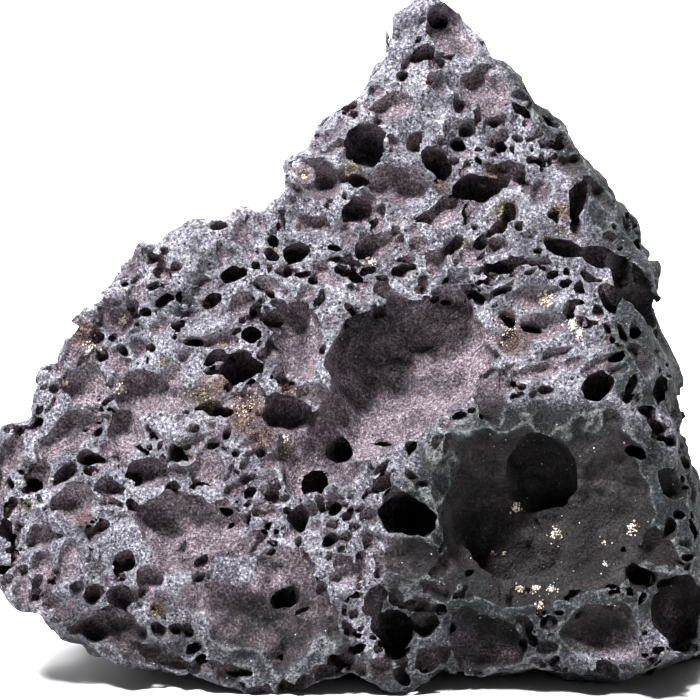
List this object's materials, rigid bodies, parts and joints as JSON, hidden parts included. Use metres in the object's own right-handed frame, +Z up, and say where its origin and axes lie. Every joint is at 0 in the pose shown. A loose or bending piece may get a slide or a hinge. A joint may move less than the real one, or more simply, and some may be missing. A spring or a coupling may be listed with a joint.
{
  "type": "volcanic rock",
  "caption": "Hand-sized piece of vesicular volcanic rock with a pointed top, a broken front full of burst gas bubbles and a flattened underside.",
  "frame": {"origin": "on the ground under the middle of the rock's box", "axes": "+Z up, +Y from the broken front face towards the back, +X to the right seen from the front"},
  "size_m": [0.1426, 0.091, 0.1293],
  "materials": {
    "basalt": "very matt, broken grey-violet basalt with darker mauve-brown bubble walls"
  },
  "bodies": {
    "root": {"rock": "basalt"}
  },
  "joints": []
}
